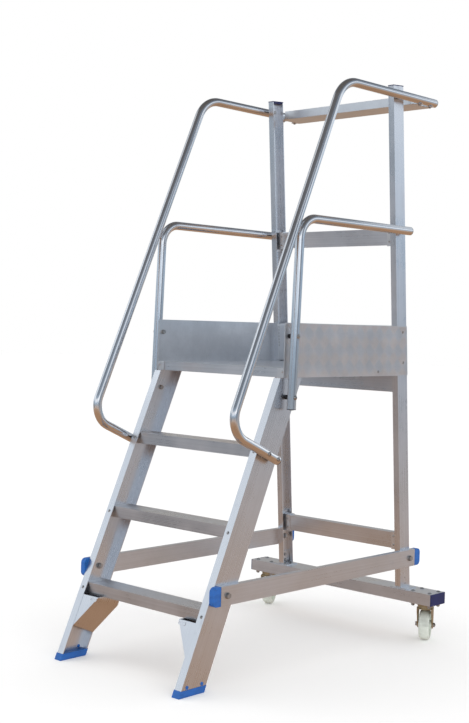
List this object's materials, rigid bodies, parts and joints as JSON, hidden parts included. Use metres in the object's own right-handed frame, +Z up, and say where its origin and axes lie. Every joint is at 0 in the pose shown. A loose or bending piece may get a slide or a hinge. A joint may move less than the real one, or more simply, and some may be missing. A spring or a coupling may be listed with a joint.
{
  "type": "mobile ladder stand",
  "caption": "Aluminium warehouse step stand with treads, railed platform, toe boards, tool shelf and swivel castors under the rear base beam.",
  "frame": {"origin": "on the floor, at the middle of the stand's footprint", "axes": "+X to the right of a person climbing, +Y from the climbing side to the rear, +Z up"},
  "size_m": [0.878, 1.245, 2.0106],
  "materials": {
    "extruded_aluminium": "mill-finish extrusion with fine lines along its length",
    "sheet_aluminium": "bright sheet, partly with raised tread bars",
    "bolt_steel": "clear zinc on steel",
    "yellow_zinc": "yellow passivated zinc on pressed steel",
    "blue_plastic": "moulded plastic, lightly textured",
    "dark_plastic": "moulded plastic",
    "wheel_nylon": "cast nylon, slightly worn"
  },
  "bodies": {
    "frame": {"stile_left": "extruded_aluminium", "stile_right": "extruded_aluminium", "tread_1": "extruded_aluminium", "tread_2": "extruded_aluminium", "tread_3": "extruded_aluminium", "brace_left": "extruded_aluminium", "brace_right": "extruded_aluminium", "deck_planking": "extruded_aluminium", "deck_nosing": "extruded_aluminium", "deck_side_left": "extruded_aluminium", "deck_side_right": "extruded_aluminium", "rear_deck_beam": "extruded_aluminium", "post_left": "extruded_aluminium", "post_right": "extruded_aluminium", "cross_rail_middle": "extruded_aluminium", "cross_rail_lower": "extruded_aluminium", "handrail_left": "extruded_aluminium", "handrail_right": "extruded_aluminium", "mid_rail_left": "extruded_aluminium", "mid_rail_right": "extruded_aluminium", "side_rail_left": "extruded_aluminium", "side_rail_right": "extruded_aluminium", "base_beam": "extruded_aluminium", "tread_brackets": "sheet_aluminium", "toe_board_left": "sheet_aluminium", "toe_board_right": "sheet_aluminium", "toe_board_rear": "sheet_aluminium", "toe_corner_plates": "sheet_aluminium", "cross_rail_cleats": "sheet_aluminium", "rail_welds": "sheet_aluminium", "tool_shelf": "sheet_aluminium", "post_shoes": "sheet_aluminium", "deck_corners": "sheet_aluminium", "tread_rivets": "bolt_steel", "toe_board_rivets": "bolt_steel", "cleat_screws": "bolt_steel", "rail_bolts": "bolt_steel", "shelf_screws": "bolt_steel", "side_rail_bolts": "bolt_steel", "post_shoe_bolts": "bolt_steel", "castor_bolts": "bolt_steel", "swivel_balls": "bolt_steel", "castor_plate_left": "yellow_zinc", "castor_plate_right": "yellow_zinc", "foot_left": "blue_plastic", "foot_right": "blue_plastic", "foot_rivets": "blue_plastic", "side_rail_caps": "blue_plastic", "post_caps": "dark_plastic", "base_beam_caps": "dark_plastic", "rail_plugs": "dark_plastic", "rail_spacers": "dark_plastic"},
    "castor_fork_left": {"castor_fork_left": "yellow_zinc", "castor_axle_left": "bolt_steel"},
    "castor_fork_right": {"castor_fork_right": "yellow_zinc", "castor_axle_right": "bolt_steel"},
    "castor_wheel_left": {"castor_wheel_left": "wheel_nylon", "wheel_bush_left": "dark_plastic"},
    "castor_wheel_right": {"castor_wheel_right": "wheel_nylon", "wheel_bush_right": "dark_plastic"}
  },
  "joints": [
    {"name": "castor_swivel_left", "type": "hinge", "parent": "frame", "child": "castor_fork_left", "pos_m": [-0.383, 0.55513, 0.125], "axis": [0, 0, 1], "continuous": true},
    {"name": "wheel_spin_left", "type": "hinge", "parent": "castor_fork_left", "child": "castor_wheel_left", "pos_m": [-0.38936, 0.5676, 0.055], "axis": [-0.891, -0.454, 0], "continuous": true},
    {"name": "castor_swivel_right", "type": "hinge", "parent": "frame", "child": "castor_fork_right", "pos_m": [0.383, 0.55513, 0.125], "axis": [0, 0, 1], "continuous": true},
    {"name": "wheel_spin_right", "type": "hinge", "parent": "castor_fork_right", "child": "castor_wheel_right", "pos_m": [0.37664, 0.5676, 0.055], "axis": [-0.891, -0.454, 0], "continuous": true}
  ]
}
